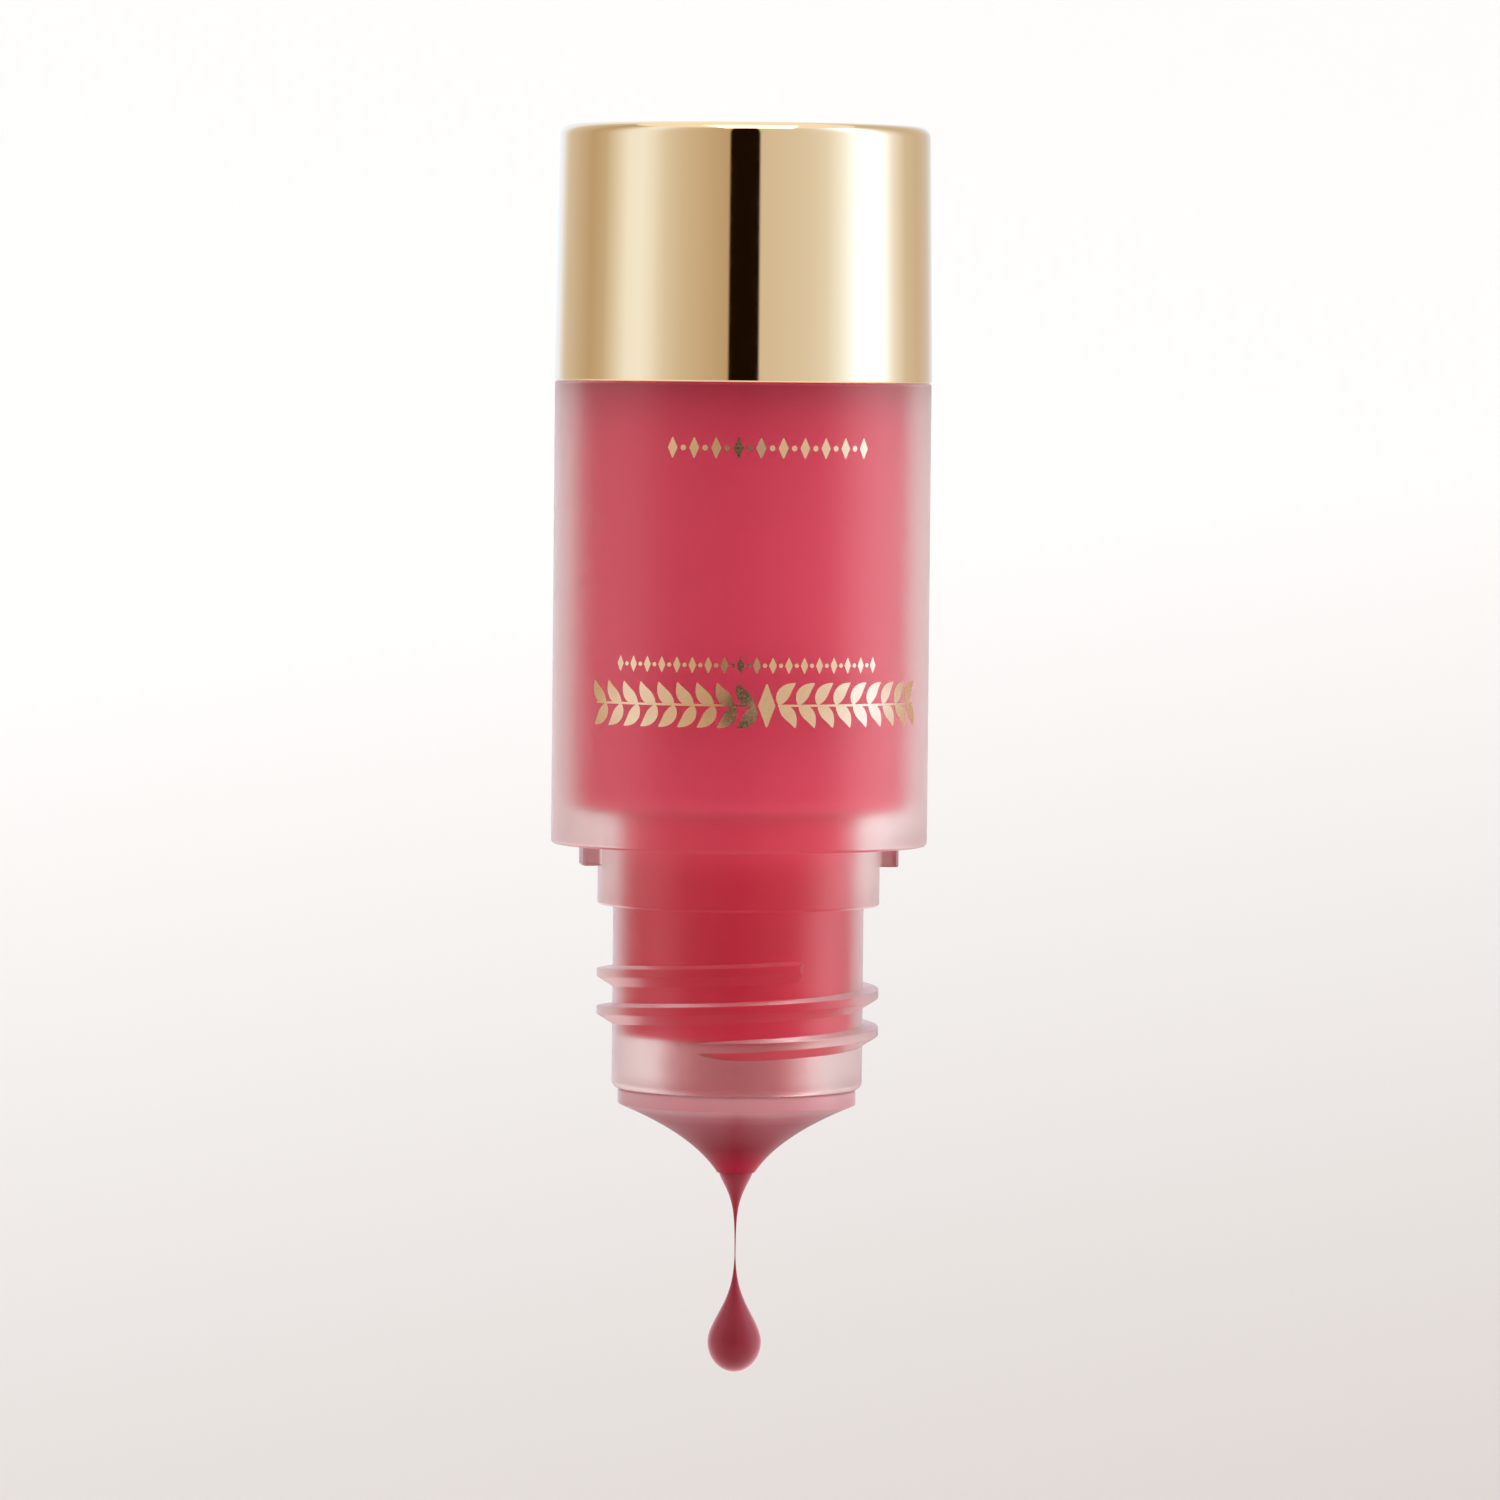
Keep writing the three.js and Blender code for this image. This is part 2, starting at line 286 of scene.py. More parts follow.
def make_bottle():
    body = turned("bottle_wall", outline([
        (0, CHAMBER_TOP),
        (CHAMBER_RADIUS, CHAMBER_TOP, CHAMBER_TOP_CORNER),
        (CHAMBER_RADIUS, CHAMBER_FLOOR, CHAMBER_CORNER),
        (BORE_RADIUS, CHAMBER_FLOOR, BORE_TOP_ROUNDING),
        (BORE_RADIUS, MOUTH_DEPTH, BORE_MOUTH_ROUNDING),
        (NECK_RADIUS, MOUTH_DEPTH, MOUTH_EDGE),
        (NECK_RADIUS, COLLAR_DEPTH),
        (COLLAR_RADIUS, COLLAR_DEPTH, COLLAR_EDGE),
        (COLLAR_RADIUS, SHOULDER_DEPTH),
        (BODY_RADIUS, SHOULDER_DEPTH, BODY_EDGE),
        (BODY_RADIUS, SEAM_DEPTH, SEAM_EDGE),
        (HEEL_RADIUS, SEAM_DEPTH),
        *bead(HEEL_RADIUS),
        (HEEL_RADIUS, HEEL_TOP, HEEL_EDGE),
        (0, HEEL_TOP),
    ]))
    lugs = [make_lug(LUG_AZIMUTH), make_lug(LUG_AZIMUTH + math.pi)]
    return join_solids(body, [make_thread(), *lugs])


def thread_section():
    """The buttress section as (height over the neck, place towards the shoulder), crest rounded."""
    grow = 1 + THREAD_EMBED / THREAD_HEIGHT
    upper, lower = THREAD_CREST / 2, -THREAD_CREST / 2
    root_upper = Vector((-THREAD_EMBED, upper + THREAD_STEEP_FLANK * grow))
    root_lower = Vector((-THREAD_EMBED, lower - THREAD_SLOPED_FLANK * grow))
    crest_lower, crest_upper = Vector((THREAD_HEIGHT, lower)), Vector((THREAD_HEIGHT, upper))
    return [
        root_upper,
        root_lower,
        *tangent_arc(root_lower, crest_lower, crest_upper, THREAD_ROUNDING),
        *tangent_arc(crest_lower, crest_upper, root_upper, THREAD_ROUNDING),
    ]


def make_thread():
    section = thread_section()
    steps = round(THREAD_SWEEP / (2 * math.pi) * SEGMENTS)
    loops = []
    for step in range(steps + 1):
        swept = THREAD_SWEEP * step / steps
        share = min(1, swept / THREAD_TOP_RUNOUT, (THREAD_SWEEP - swept) / THREAD_MOUTH_RUNOUT)
        rise = share * share * (3 - 2 * share)
        crest = -THREAD_EMBED / 2 + (THREAD_HEIGHT + THREAD_EMBED / 2) * rise
        depth = THREAD_TOP_DEPTH + THREAD_PITCH * swept / (2 * math.pi)
        loops.append([
            around(NECK_RADIUS + min(point.x, crest), THREAD_START - swept, depth - point.y)
            for point in section
        ])
    return as_object("thread", prism(loops))


def make_lug(azimuth):
    """A block on the shoulder, its outer corners and its lower edge rounded."""
    def loop(inset, depth):
        radius, half = LUG_RADIUS - inset, LUG_ANGLE / 2 - inset / LUG_RADIUS
        rounding = LUG_ROUNDING / LUG_RADIUS
        outer = []
        for step in range(2 * LUG_SIDE_STEPS + 1):
            angle = half * (step / LUG_SIDE_STEPS - 1)
            corner = min(max(abs(angle) - (half - rounding), 0) / rounding, 1)
            drawn_in = LUG_ROUNDING * (1 - math.sqrt(1 - corner**2))
            outer.append(around(radius - drawn_in, azimuth + angle, depth))
        inner = [around(COLLAR_RADIUS - LUG_EMBED, azimuth + half * sign, depth) for sign in (1, -1)]
        return outer + inner

    bottom = SHOULDER_DEPTH + LUG_HEIGHT
    loops = [loop(0, SHOULDER_DEPTH - LUG_EMBED)]
    for step in range(LUG_EDGE_STEPS + 1):
        turn = math.pi / 2 * step / LUG_EDGE_STEPS
        inset, raised = LUG_ROUNDING * (1 - math.cos(turn)), LUG_ROUNDING * (1 - math.sin(turn))
        loops.append(loop(inset, bottom - raised))
    return as_object("lug", prism(loops))


def make_base_shell():
    return turned("gold_base", outline([
        (0, SHELL_END_WALL),
        (SHELL_BORE, SHELL_END_WALL, SHELL_CORNER),
        *reversed(bead(SHELL_BORE)),
        (SHELL_BORE, SHELL_RIM_DEPTH, SHELL_RIM_EDGE),
        (SHELL_RIM_RADIUS, SHELL_RIM_DEPTH, SHELL_RIM_EDGE),
        (SHELL_END_RADIUS, 0, SHELL_END_EDGE),
        (0, 0),
    ]))


def make_plug():
    """The nozzle's outer curve, the flange and barrel, and the bore's curve, joined end to end."""
    middle = (BARREL_TOP + MOUTH_DEPTH) / 2
    barrel = outline([
        NOZZLE_ROOT,
        (FLANGE_RADIUS, FLANGE_DEPTH - FLANGE_RISE, FLANGE_LOWER_EDGE),
        (FLANGE_RADIUS, FLANGE_TOP, FLANGE_TOP_EDGE),
        (BARREL_RADIUS, FLANGE_TOP),
        (BARREL_RADIUS, middle + SEAL_BEAD_HALF),
        (BARREL_RADIUS + SEAL_BEAD_HEIGHT, middle),
        (BARREL_RADIUS, middle - SEAL_BEAD_HALF),
        (BARREL_RADIUS, BARREL_TOP, BARREL_LEAD_IN),
        (BARREL_BORE, BARREL_TOP, BARREL_BORE_EDGE),
        (BARREL_BORE, MOUTH_DEPTH),
    ])
    return turned("plug", [
        *curve(NOZZLE_TIP, NOZZLE_BEND, NOZZLE_ROOT),
        *barrel[1:-1],
        *curve((BARREL_BORE, MOUTH_DEPTH), NOZZLE_BORE_BEND, (ORIFICE_RADIUS, NOZZLE_TIP[1])),
    ], closed=True)


def make_gloss_column():
    """The gloss in the chamber and the neck, down to the plug's barrel."""
    floor = CHAMBER_FLOOR + WETTING
    neck, chamber = BORE_RADIUS + WETTING, CHAMBER_RADIUS + WETTING
    return turned("gloss_column", outline([
        (0, BARREL_TOP - BARREL_JOINT),
        (neck, BARREL_TOP - BARREL_JOINT),
        (neck, floor, BORE_TOP_ROUNDING - WETTING),
        (chamber, floor, CHAMBER_CORNER + WETTING),
        (chamber, GLOSS_LEVEL),
        (0, GLOSS_LEVEL),
    ]))


def make_nozzle_gloss():
    """The gloss inside the plug, down to the orifice."""
    return turned("nozzle_gloss", [
        Vector((0, -NOZZLE_TIP[1] - ORIFICE_JOINT)),
        *curve(
            (ORIFICE_RADIUS + WETTING, NOZZLE_TIP[1] + ORIFICE_JOINT),
            (NOZZLE_BORE_BEND[0] + WETTING, NOZZLE_BORE_BEND[1] + WETTING),
            (BARREL_BORE + WETTING, MOUTH_DEPTH),
        ),
        Vector((BARREL_BORE + WETTING, -BARREL_TOP - BARREL_JOINT)),
        Vector((0, -BARREL_TOP - BARREL_JOINT)),
    ])


def drip_radius(depth):
    """The liquid necks down from the nozzle's rim to a strand, and ends in a round drop."""
    below = max(depth - NOZZLE_TIP[1], 0)
    necking = NECKING["radius"] * math.exp(-((below / NECKING["length"]) ** NECKING["power"]))
    height = DROP["end"] - depth
    if height < DROP["round"]:
        return DROP["radius"] * math.sqrt(1 - (1 - height / DROP["round"]) ** 2)
    tail = math.exp(-(((height - DROP["round"]) / DROP["tail"]) ** DROP["power"]))
    return max(necking + STRAND_RADIUS, DROP["radius"] * tail)


def make_drip():
    top = NOZZLE_TIP[1] + 2 * ORIFICE_JOINT
    profile = []
    for step in range(1, DRIP_POINTS + 1):
        depth = top + (DROP["end"] - top) * math.cos(math.pi / 2 * step / DRIP_POINTS)
        profile.append(Vector((drip_radius(depth), -depth)))
    return turned("drip", [Vector((0, -DROP["end"])), *profile, Vector((0, -top))])


# ---------------------------------------------------------------- foil ornaments

FOIL_RADIUS = BODY_RADIUS + 0.018
FOIL_BACK = BODY_RADIUS - 0.004
GARLAND_DEPTH = 36.5
GARLAND_SPAN = (-50, 66)
GARLAND_PAIRS = 18
GARLAND_LOZENGE = (1.1, 2.7)
STEM_HALF_WIDTH = 0.07
LEAF_ANGLE = math.radians(52)
LEAF_LENGTH = 1.75
LEAF_WIDTH = 0.78
LEAF_STEPS = 14
LEAF_END = 0.015
LEAF_ROOT_RISE = 0.03
DOT_STEPS = 12
DOT_END = 0.012

# The leaf's bow as a share of its length, and the powers that set where it is widest and how full it is.
LEAF_BOW = 0.12
LEAF_BELLY = 0.8
LEAF_FULLNESS = 0.9

# Shares of the garland's pitch.
STEM_START = 0.55
STEM_STEP = 0.25
LEAF_ROOT_BACK = 0.4

# Half widths up a lozenge as shares of its width, and a bead row's pieces as shares of the row's height.
LOZENGE_HALVES = (0.04, 0.27, 0.5, 0.27, 0.04)
ROW_DOT_RADIUS = 0.14
ROW_LOZENGE_WIDTH = 0.5


def ribbon(mesh, centre, half_widths, azimuth, depth):
    """A thin foil strip on the wall, along a line of (distance round the wall, height) points."""
    loops = []
    for index, (point, half) in enumerate(zip(centre, half_widths)):
        before, after = centre[max(index - 1, 0)], centre[min(index + 1, len(centre) - 1)]
        side = (after - before).normalized().orthogonal() * half
        loops.append([
            mesh.verts.new(around(radius, azimuth + edge.x / BODY_RADIUS, depth - edge.y))
            for radius, edge in (
                (FOIL_BACK, point + side),
                (FOIL_RADIUS, point + side),
                (FOIL_RADIUS, point - side),
                (FOIL_BACK, point - side),
            )
        ])
    for first, second in zip(loops, loops[1:]):
        bridge(mesh, first, second)
    mesh.faces.new(loops[0])
    mesh.faces.new(list(reversed(loops[-1])))


def leaf(mesh, root, angle, azimuth, depth):
    """A pointed leaf that starts at its root; the angle is from the direction round the wall."""
    along = Vector((math.cos(angle), math.sin(angle)))
    shares = [step / LEAF_STEPS for step in range(LEAF_STEPS + 1)]
    bow = Vector((-along.y, along.x)) * (LEAF_BOW * LEAF_LENGTH)
    centre = [root + along * (LEAF_LENGTH * t) + bow * math.sin(math.pi * t) for t in shares]
    bulges = [math.sin(math.pi * t**LEAF_BELLY) ** LEAF_FULLNESS for t in shares[:-1]]
    halves = [LEAF_END + LEAF_WIDTH / 2 * bulge for bulge in bulges] + [LEAF_END]
    ribbon(mesh, centre, halves, azimuth, depth)


def dot(mesh, middle, radius, azimuth, depth):
    shares = [math.cos(math.pi * step / DOT_STEPS) for step in range(DOT_STEPS, -1, -1)]
    centre = [middle + Vector((radius * share, 0)) for share in shares]
    halves = [max(radius * math.sqrt(1 - share**2), DOT_END) for share in shares]
    ribbon(mesh, centre, halves, azimuth, depth)


def lozenge(mesh, middle, width, height, azimuth, depth):
    last = len(LOZENGE_HALVES) - 1
    centre = [middle + Vector((0, height * (step / last - 0.5))) for step in range(last + 1)]
    ribbon(mesh, centre, [width * share for share in LOZENGE_HALVES], azimuth, depth)


def make_garland():
    """A straight stem with a pair of leaves at each joint, pointing away from a lozenge."""
    azimuth = math.radians(sum(GARLAND_SPAN) / 2)
    length = math.radians(GARLAND_SPAN[1] - GARLAND_SPAN[0]) * BODY_RADIUS
    mesh = bmesh.new()
    pitch = length / (GARLAND_PAIRS + 1)
    for side in (-1, 1):
        places = [STEM_START + STEM_STEP * step for step in range(2 * GARLAND_PAIRS)]
        stem = [Vector((side * pitch * place, 0)) for place in places]
        ribbon(mesh, stem, [STEM_HALF_WIDTH] * len(stem), azimuth, GARLAND_DEPTH)
    for index in range(GARLAND_PAIRS + 1):
        place = pitch * (index - GARLAND_PAIRS / 2)
        if abs(place) < pitch / 4:
            lozenge(mesh, Vector((0, 0)), *GARLAND_LOZENGE, azimuth, GARLAND_DEPTH)
            continue
        side = math.copysign(1, place)
        for turn in (-LEAF_ANGLE, LEAF_ANGLE):
            angle = turn if side > 0 else math.pi - turn
            rise = LEAF_ROOT_RISE * math.copysign(1, turn)
            root = Vector((place - side * pitch * LEAF_ROOT_BACK, rise))
            leaf(mesh, root, angle, azimuth, GARLAND_DEPTH)
    return as_object("foil_garland", mesh)


def make_bead_row(name, depth, span, height, count):
    """A row of upright lozenges with a dot in each gap."""
    mesh = bmesh.new()
    azimuth = math.radians(sum(span) / 2)
    length = math.radians(span[1] - span[0]) * BODY_RADIUS
    for index in range(count):
        place = Vector((length * ((index + 0.5) / count - 0.5), 0))
        if index % 2:
            dot(mesh, place, height * ROW_DOT_RADIUS, azimuth, depth)
        else:
            lozenge(mesh, place, height * ROW_LOZENGE_WIDTH, height, azimuth, depth)
    return as_object(name, mesh)


# ---------------------------------------------------------------- materials


def principled(name, **sockets):
    """A material with a Principled shader, its sockets set by name."""
    made = bpy.data.materials.new(name)
    made.use_nodes = True
    shader = made.node_tree.nodes["Principled BSDF"]
    for socket, value in sockets.items():
        shader.inputs[socket.replace("_", " ")].default_value = value
    return made, made.node_tree, shader


# The range that most noise values fall in.
NOISE_LOW = 0.3
NOISE_HIGH = 0.7
NOISE_DETAIL = 2.0


def noise(tree, scale):
    """Noise over the object's own coordinates; scale is in waves per metre."""
    place = tree.nodes.new("ShaderNodeTexCoord")
    texture = tree.nodes.new("ShaderNodeTexNoise")
    texture.inputs["Scale"].default_value = scale
    texture.inputs["Detail"].default_value = NOISE_DETAIL
    tree.links.new(place.outputs["Object"], texture.inputs["Vector"])
    return texture.outputs["Fac"]


def spread(tree, source, low, high, socket):
    """Maps noise onto a range and drives a shader socket with it."""
    ranged = tree.nodes.new("ShaderNodeMapRange")
    ranged.inputs["From Min"].default_value = NOISE_LOW
    ranged.inputs["From Max"].default_value = NOISE_HIGH
    ranged.inputs["To Min"].default_value = low
    ranged.inputs["To Max"].default_value = high
    tree.links.new(source, ranged.inputs["Value"])
    tree.links.new(ranged.outputs["Result"], socket)


def relief(tree, shader, source, depth_mm):
    """Bump from noise, its height in millimetres."""
    bump = tree.nodes.new("ShaderNodeBump")
    bump.inputs["Strength"].default_value = 1.0
    bump.inputs["Distance"].default_value = depth_mm * MM
    tree.links.new(source, bump.inputs["Height"])
    tree.links.new(bump.outputs["Normal"], shader.inputs["Normal"])


def tint(tree, source, dark, light, socket):
    """Varies a colour between two tones with a source that runs from 0 to 1."""
    mixed = tree.nodes.new("ShaderNodeMix")
    mixed.data_type = "RGBA"
    mixed.inputs["A"].default_value = (*dark, 1)
    mixed.inputs["B"].default_value = (*light, 1)
    tree.links.new(source, mixed.inputs["Factor"])
    tree.links.new(mixed.outputs["Result"], socket)


def ramp_between(tree, source, low, high):
    """0 below one value and 1 above another."""
    ranged = tree.nodes.new("ShaderNodeMapRange")
    ranged.inputs["From Min"].default_value = low
    ranged.inputs["From Max"].default_value = high
    tree.links.new(source, ranged.inputs["Value"])
    return ranged.outputs["Result"]


def painted_lug_glow(tree, wall, lugs, socket):
    """Colours the stop lugs apart from the wall with painted light and shade: a darker pink that stands for
    the glow of the gloss beside them, not a colour of their own plastic.
    """
    place = tree.nodes.new("ShaderNodeTexCoord").outputs["Object"]
    flat = tree.nodes.new("ShaderNodeVectorMath")
    flat.operation = "MULTIPLY"
    flat.inputs[1].default_value = (1, 1, 0)
    tree.links.new(place, flat.inputs[0])
    radius = tree.nodes.new("ShaderNodeVectorMath")
    radius.operation = "LENGTH"
    tree.links.new(flat.outputs["Vector"], radius.inputs[0])
    split = tree.nodes.new("ShaderNodeSeparateXYZ")
    tree.links.new(place, split.inputs["Vector"])
    outside = ramp_between(
        tree, radius.outputs["Value"], (COLLAR_RADIUS + 0.05) * MM, (COLLAR_RADIUS + 0.2) * MM
    )
    below = ramp_between(
        tree, split.outputs["Z"], -(SHOULDER_DEPTH + 0.02) * MM, -(SHOULDER_DEPTH + 0.15) * MM
    )
    painted_glow_mask = tree.nodes.new("ShaderNodeMath")
    painted_glow_mask.operation = "MULTIPLY"
    tree.links.new(outside, painted_glow_mask.inputs[0])
    tree.links.new(below, painted_glow_mask.inputs[1])
    tint(tree, painted_glow_mask.outputs["Value"], wall, lugs, socket)


def depth_colours(tree, stops):
    """Colours a piece by its depth along the axis, from (depth, colour) stops."""
    place = tree.nodes.new("ShaderNodeTexCoord")
    split = tree.nodes.new("ShaderNodeSeparateXYZ")
    tree.links.new(place.outputs["Object"], split.inputs["Vector"])
    ranged = tree.nodes.new("ShaderNodeMapRange")
    ranged.inputs["From Min"].default_value = -stops[0][0] * MM
    ranged.inputs["From Max"].default_value = -stops[-1][0] * MM
    tree.links.new(split.outputs["Z"], ranged.inputs["Value"])
    ramp = tree.nodes.new("ShaderNodeValToRGB")
    tree.links.new(ranged.outputs["Result"], ramp.inputs["Fac"])
    reach = stops[-1][0] - stops[0][0]
    ends = ramp.color_ramp.elements
    ends[0].color, ends[1].color = (*stops[0][1], 1), (*stops[-1][1], 1)
    for depth, colour in stops[1:-1]:
        ends.new((depth - stops[0][0]) / reach).color = (*colour, 1)
    return ramp.outputs["Color"]


def gold_material():
    made, tree, shader = principled(
        "mirror_gold", Base_Color=(0.97, 0.72, 0.42, 1), Metallic=1.0, Coat_Weight=0.3, Coat_Roughness=0.03
    )
    spread(tree, noise(tree, 900), 0.035, 0.06, shader.inputs["Roughness"])
    return made


def foil_material():
    made, tree, shader = principled("gold_foil", Metallic=1.0)
    tint(tree, noise(tree, 2500), (0.86, 0.53, 0.3), (0.94, 0.61, 0.36), shader.inputs["Base Color"])
    spread(tree, noise(tree, 6000), 0.2, 0.28, shader.inputs["Roughness"])
    return made


def frosted_material():
    made, tree, shader = principled(
        "frosted_plastic", IOR=1.5, Transmission_Weight=1.0, Sheen_Weight=0.2, Sheen_Roughness=0.35,
        Sheen_Tint=(1, 0.7, 0.66, 1), Specular_Tint=(0.45, 0.4, 0.32, 1),
    )
    # The lugs' colour is painted light and shade: the pink glow of the gloss beside them, darker than the
    # wall.
    painted_lug_glow(tree, (0.985, 0.79, 0.79), (0.46, 0.19, 0.2), shader.inputs["Base Color"])
    spread(tree, noise(tree, 1400), 0.31, 0.36, shader.inputs["Roughness"])
    relief(tree, shader, noise(tree, 9000), 0.004)
    return made


def plug_material():
    made, tree, shader = principled(
        "milky_plug", IOR=1.48, Transmission_Weight=0.6, Specular_Tint=(0.42, 0.12, 0.16, 1)
    )
    spread(tree, noise(tree, 400), 0.28, 0.34, shader.inputs["Roughness"])
    # These stops mix the plug's own milky colour with painted light and shade: pale by the flange, the dark
    # red shade of the gloss through the thin cone, and a lighter red at the tip.
    stops = [
        (61.2, (0.99, 0.67, 0.73)), (61.6, (0.84, 0.5, 0.53)), (62.4, (0.8, 0.42, 0.46)),
        (62.9, (0.5, 0.1, 0.16)), (63.4, (0.38, 0.018, 0.065)), (65.2, (0.36, 0.006, 0.035)),
        (66.5, (0.58, 0.02, 0.07)),
    ]
    tree.links.new(depth_colours(tree, stops), shader.inputs["Base Color"])
    return made


def gloss_material():
    made, tree, shader = principled(
        "rose_gloss", IOR=1.46, Specular_IOR_Level=0.0,
        Sheen_Weight=0.3, Sheen_Roughness=0.5, Sheen_Tint=(1, 0.5, 0.55, 1),
    )
    # These stops are painted light and shade by depth: lighter at the chamber floor's corner, darker down the
    # neck, lighter in the plug's barrel and darker in its cone.
    painted_light_by_depth = depth_colours(tree, [
        (42.4, (0.74, 0.074, 0.145)), (43.4, (0.84, 0.11, 0.18)), (44.6, (0.8, 0.085, 0.155)),
        (47.5, (0.67, 0.043, 0.09)), (54.0, (0.64, 0.035, 0.077)), (58.0, (0.72, 0.043, 0.095)),
        (58.2, (0.9, 0.12, 0.17)), (62.0, (0.9, 0.08, 0.13)), (64.0, (0.6, 0.02, 0.05)),
    ])
    cloudy = tree.nodes.new("ShaderNodeMix")
    cloudy.data_type = "RGBA"
    cloudy.blend_type = "MULTIPLY"
    cloudy.inputs["Factor"].default_value = 1
    tree.links.new(painted_light_by_depth, cloudy.inputs["A"])
    tint(tree, noise(tree, 260), (0.94, 0.9, 0.92), (1, 1, 1), cloudy.inputs["B"])
    tree.links.new(cloudy.outputs["Result"], shader.inputs["Base Color"])
    spread(tree, noise(tree, 500), 0.25, 0.35, shader.inputs["Roughness"])
    return made


def drip_material():
    made, tree, shader = principled(
        "wet_gloss", IOR=1.25, Base_Color=(0.33, 0.012, 0.034, 1), Transmission_Weight=0.55,
        Specular_Tint=(1, 0.5, 0.4, 1), Sheen_Weight=1.0, Sheen_Roughness=0.5, Sheen_Tint=(1, 0.55, 0.62, 1),
        Coat_Weight=0.1, Coat_Roughness=0.1,
    )
    spread(tree, noise(tree, 500), 0.1, 0.16, shader.inputs["Roughness"])
    absorption = tree.nodes.new("ShaderNodeVolumeAbsorption")
    absorption.inputs["Color"].default_value = (0.72, 0.06, 0.22, 1)
    absorption.inputs["Density"].default_value = 1100
    tree.links.new(absorption.outputs["Volume"], tree.nodes["Material Output"].inputs["Volume"])
    return made


def steel_material():
    made, tree, shader = principled("turned_steel", Base_Color=(0.55, 0.56, 0.58, 1), Metallic=1.0)
    spread(tree, noise(tree, 700), 0.28, 0.42, shader.inputs["Roughness"])
    return made


# ---------------------------------------------------------------- camera, light and stage

AIM = Vector((0.65, 0, -39.78)) * MM
CAMERA_DISTANCE = 0.609
CAMERA_ELEVATION = math.radians(2.4)
CAMERA_ROLL = math.radians(0.55)
CAMERA_LENS = 229


def make_camera():
    camera = bpy.data.objects.new("camera", bpy.data.cameras.new("camera"))
    camera.data.lens = CAMERA_LENS
    camera.data.sensor_width = 36
    camera.data.clip_start = 0.01
    back = Vector((0, -math.cos(CAMERA_ELEVATION), math.sin(CAMERA_ELEVATION)))
    turn = (-back).to_track_quat("-Z", "Y").to_matrix() @ Matrix.Rotation(CAMERA_ROLL, 3, "Z")
    camera.matrix_world = Matrix.Translation(AIM + back * CAMERA_DISTANCE) @ turn.to_4x4()
    bpy.context.scene.collection.objects.link(camera)
    bpy.context.scene.camera = camera


def place_facing(made, azimuth, elevation, distance):
    """Puts something round the aim point, its -Z side towards it."""
    a, e = math.radians(azimuth), math.radians(elevation)
    away = Vector((math.sin(a) * math.cos(e), -math.cos(a) * math.cos(e), math.sin(e)))
    made.location = AIM + away * distance
    made.rotation_mode = "QUATERNION"
    made.rotation_quaternion = (-away).to_track_quat("-Z", "Y")


def make_light(name, azimuth, elevation, distance, width, height, radiance, mirrored=False):
    """A soft box of a given brightness, its sizes in metres."""
    light = bpy.data.lights.new(name, "AREA")
    light.shape = "RECTANGLE"
    light.size, light.size_y = width, height
    light.energy = radiance * math.pi * width * height
    made = bpy.data.objects.new(name, light)
    bpy.context.scene.collection.objects.link(made)
    place_facing(made, azimuth, elevation, distance)
    made.visible_camera = False
    made.visible_glossy = mirrored


# The room, in metres: the tent, the floor, and the sweep that rises from where the floor ends.
ROOM_SEGMENTS = 96
TENT_RADIUS = 0.9
TENT_HALF_HEIGHT = 1.2
STAGE_FLOOR = -0.3
STAGE_FLAT = 0.9
STAGE_RING_SHARE = 0.3
STAGE_BEND = 1.1
STAGE_SWEEP = math.radians(75)
STAGE_STEPS = 24

# The studio's tent as (azimuth in degrees, brightness) stops: what polished surfaces mirror.
TENT_STOPS = [
    (-180, 1.5), (-154, 1.45), (-140, 0.95), (-108, 0.62), (-96, 0.74), (-86, 1.1), (-76, 1.5), (-66, 1.55),
    (-59, 1.4), (-50, 1.08), (-38, 0.87), (-20, 0.7), (-9.7, 0.62), (-9.2, 0.014), (8.7, 0.014),
    (9.2, 0.94), (24, 1.0), (40, 1.08), (52, 1.24), (62, 1.62), (73, 2.2), (84, 2.6), (94, 2.2), (104, 1.42),
    (117, 0.93), (132, 0.8), (150, 0.9), (180, 1.5),
]
TENT_BRIGHTNESS = 0.7
TENT_RANGE = 8.0


def tent_colour(brightness):
    """Dim stretches are a little warm and bright ones a little cool, as cloth and lamps are."""
    if brightness < 0.1:
        return [brightness / TENT_RANGE, 0.45 * brightness / TENT_RANGE, 0.15 * brightness / TENT_RANGE, 1]
    return [brightness**0.65 / TENT_RANGE, brightness / TENT_RANGE, brightness**1.5 / TENT_RANGE, 1]


def room_ring(mesh, radius, height):
    """A ring of points round the middle of the room, or a single point where it has no radius."""
    turns = full_turn(ROOM_SEGMENTS) if radius else [0]
    return [mesh.verts.new((radius * math.cos(turn), radius * math.sin(turn), height)) for turn in turns]


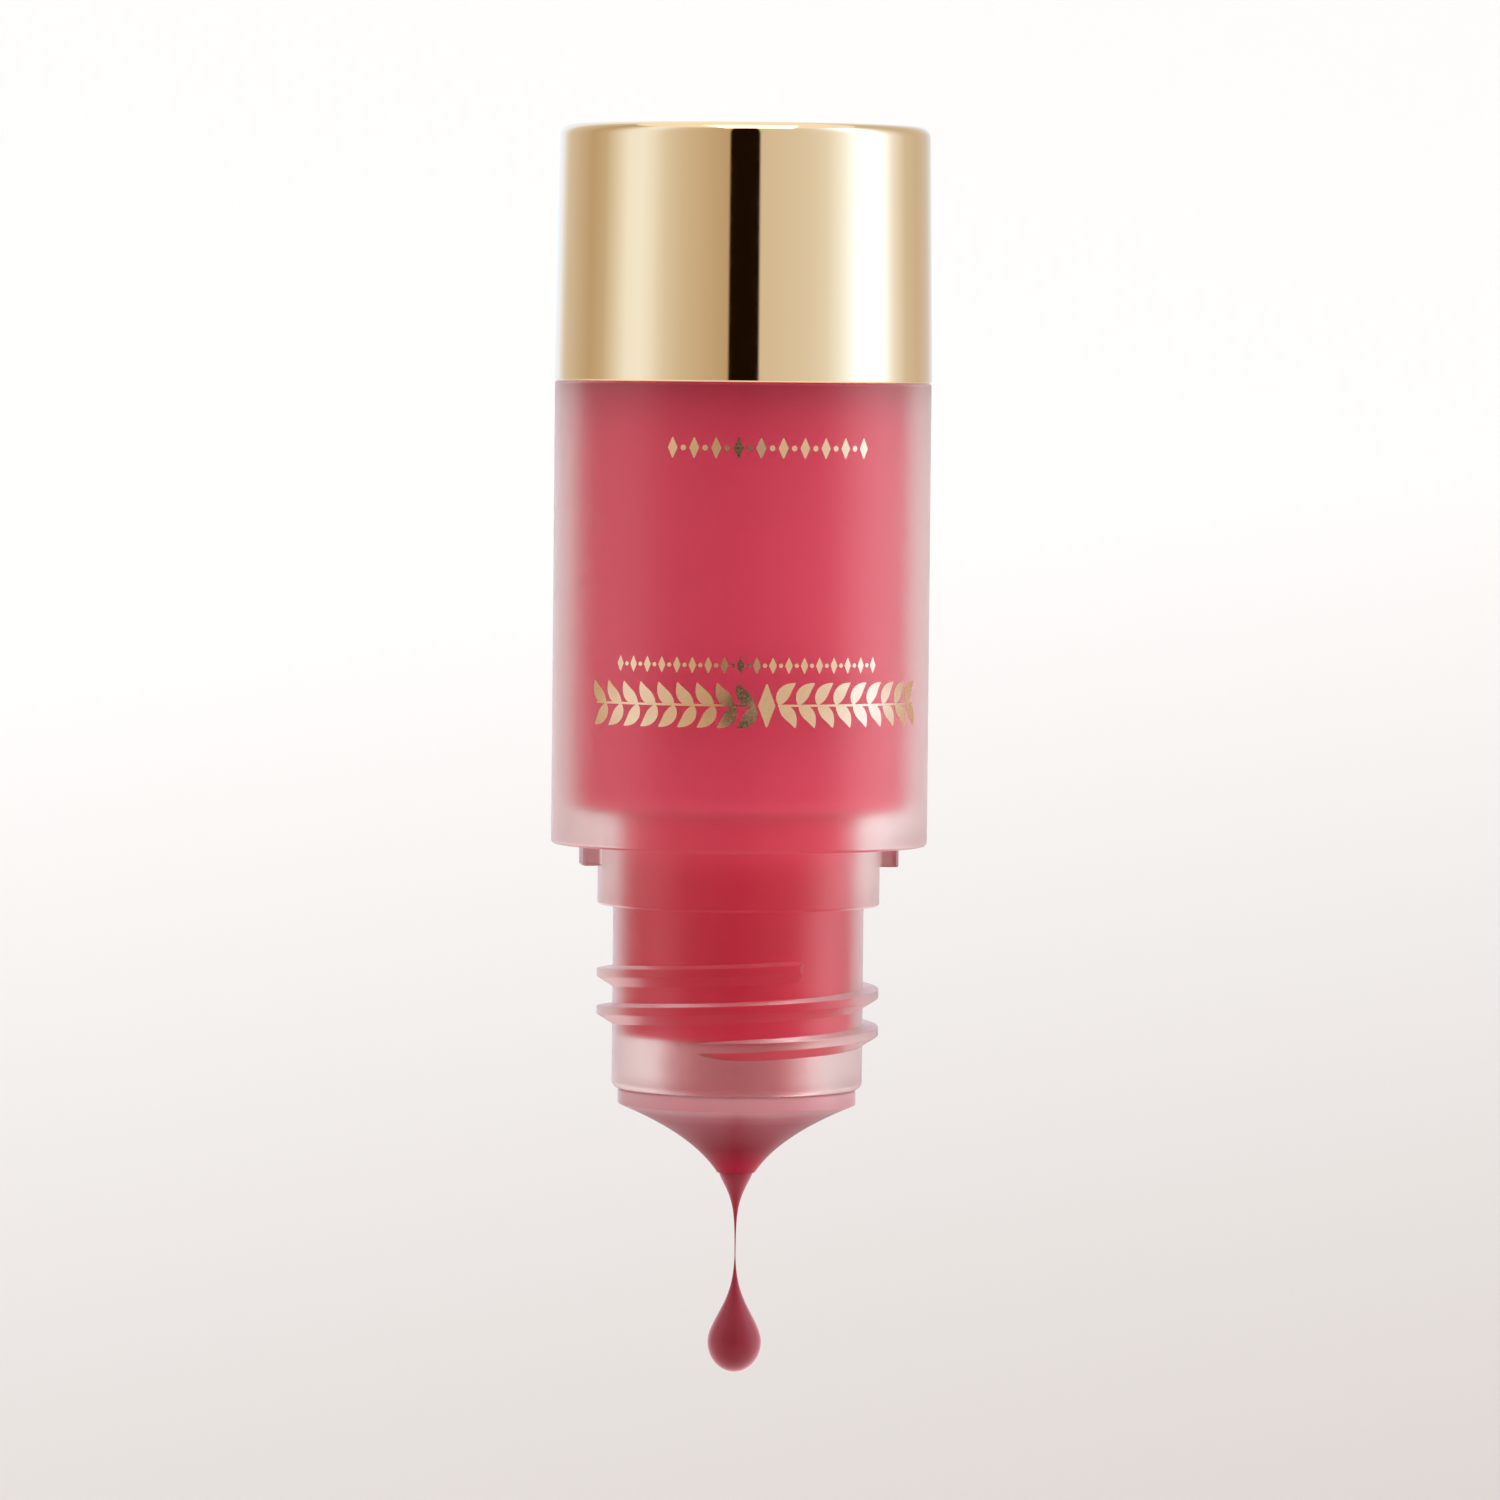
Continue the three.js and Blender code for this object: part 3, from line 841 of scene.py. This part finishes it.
def make_tent():
    """A round wall of light that only mirrors see, so that it needs no lamps of its own."""
    mesh = bmesh.new()
    foot = room_ring(mesh, TENT_RADIUS, -TENT_HALF_HEIGHT)
    bridge(mesh, foot, room_ring(mesh, TENT_RADIUS, TENT_HALF_HEIGHT))
    tent = as_object("light_tent", mesh, sharp_degrees=180)
    tent.rotation_euler.z = -math.pi / 2
    tent.visible_camera = False
    tent.visible_diffuse = False
    tent.visible_transmission = False
    tent.visible_volume_scatter = False
    tent.visible_shadow = False
    material = bpy.data.materials.new("tent_cloth")
    material.use_nodes = True
    tree = material.node_tree
    tree.nodes.remove(tree.nodes["Principled BSDF"])
    place = tree.nodes.new("ShaderNodeTexCoord")
    turn = tree.nodes.new("ShaderNodeTexGradient")
    turn.gradient_type = "RADIAL"
    tree.links.new(place.outputs["Object"], turn.inputs["Vector"])
    ramp = tree.nodes.new("ShaderNodeValToRGB")
    tree.links.new(turn.outputs["Fac"], ramp.inputs["Fac"])
    stops = ramp.color_ramp.elements
    stops[0].position, stops[0].color = 0, tent_colour(TENT_STOPS[0][1])
    stops[1].position, stops[1].color = 1, tent_colour(TENT_STOPS[-1][1])
    for azimuth, brightness in TENT_STOPS[1:-1]:
        stops.new(azimuth / 360 + 0.5).color = tent_colour(brightness)
    emission = tree.nodes.new("ShaderNodeEmission")
    emission.inputs["Strength"].default_value = TENT_BRIGHTNESS * TENT_RANGE
    tree.links.new(ramp.outputs["Color"], emission.inputs["Color"])
    tree.links.new(emission.outputs["Emission"], tree.nodes["Material Output"].inputs["Surface"])
    material.cycles.emission_sampling = "NONE"
    tent.data.materials.append(material)


def make_stage():
    """A pale floor that sweeps up into a low wall all round, with painted shade: darker towards the bottom
    and towards +X.
    """
    profile = [(STAGE_RING_SHARE * STAGE_FLAT * step, STAGE_FLOOR) for step in range(4)]
    for step in range(1, STAGE_STEPS + 1):
        turn = STAGE_SWEEP * step / STAGE_STEPS
        height = STAGE_FLOOR + STAGE_BEND * (1 - math.cos(turn))
        profile.append((STAGE_FLAT + STAGE_BEND * math.sin(turn), height))
    mesh = bmesh.new()
    rings = [room_ring(mesh, radius, height) for radius, height in profile]
    for lower, upper in zip(rings, rings[1:]):
        bridge(mesh, lower, upper)
    stage = as_object("floor", mesh, sharp_degrees=180)
    stage.data.flip_normals()
    material, tree, shader = principled("pale_floor", Roughness=0.9)
    # Painted shade: the floor's colour darkens lower down and towards +X, standing in for light falling off.
    place = tree.nodes.new("ShaderNodeTexCoord")
    painted_falloff_height = tree.nodes.new("ShaderNodeVectorMath")
    painted_falloff_height.operation = "DOT_PRODUCT"
    painted_falloff_height.inputs[1].default_value = (-0.14, 0, 1)
    tree.links.new(place.outputs["Object"], painted_falloff_height.inputs[0])
    rise = ramp_between(tree, painted_falloff_height.outputs["Value"], -0.28, -0.065)
    tint(tree, rise, (0.65, 0.6, 0.58), (0.97, 0.965, 0.96), shader.inputs["Base Color"])
    stage.data.materials.append(material)


def make_world():
    world = bpy.data.worlds.new("studio")
    world.use_nodes = True
    world.node_tree.nodes["Background"].inputs["Color"].default_value = (1, 0.99, 0.98, 1)
    world.node_tree.nodes["Background"].inputs["Strength"].default_value = 1.0
    bpy.context.scene.world = world
    bpy.context.scene.view_settings.view_transform = "Standard"


def finish_piece(piece, material, body, slot, *nodes):
    piece.data.materials.clear()
    piece.data.materials.append(material)
    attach(piece, body)
    if nodes:
        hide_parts(*nodes)


make_camera()
make_world()
make_stage()
make_light("right_box", azimuth=84, elevation=4, distance=0.65, width=0.5, height=1.1, radiance=3.2)
make_light("left_box", azimuth=-72, elevation=4, distance=0.65, width=0.42, height=1.1, radiance=1.4)
make_light(
    "top_box", azimuth=10, elevation=68, distance=0.8, width=0.5, height=0.5, radiance=1.8, mirrored=True
)
make_tent()

finish_piece(make_base_shell(), gold_material(), "bottle", "gold_shell", "base_shell")
finish_piece(make_bottle(), frosted_material(), "bottle", "frosted_bottle", "bottle")
foil = foil_material()
finish_piece(make_garland(), foil, "bottle", "gold_shell")
petals = make_bead_row("foil_petals", depth=34.0, span=(-40, 45), height=1.0, count=35)
finish_piece(petals, foil, "bottle", "gold_shell")
marks = make_bead_row("foil_marks", depth=20.4, span=(-23, 41), height=1.3, count=19)
finish_piece(marks, foil, "bottle", "gold_shell")
finish_piece(make_gloss_column(), gloss_material(), "bottle", "rose_gloss", "gloss_fill")
finish_piece(make_plug(), plug_material(), "nozzle", "milky_plug", "nozzle_plug")
finish_piece(make_nozzle_gloss(), gloss_material(), "nozzle", "rose_drip", "gloss_drip")
finish_piece(make_drip(), drip_material(), "nozzle", "rose_drip", "gloss_drip")

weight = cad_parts["base_weight"]
weight.data.materials.clear()
weight.data.materials.append(steel_material())
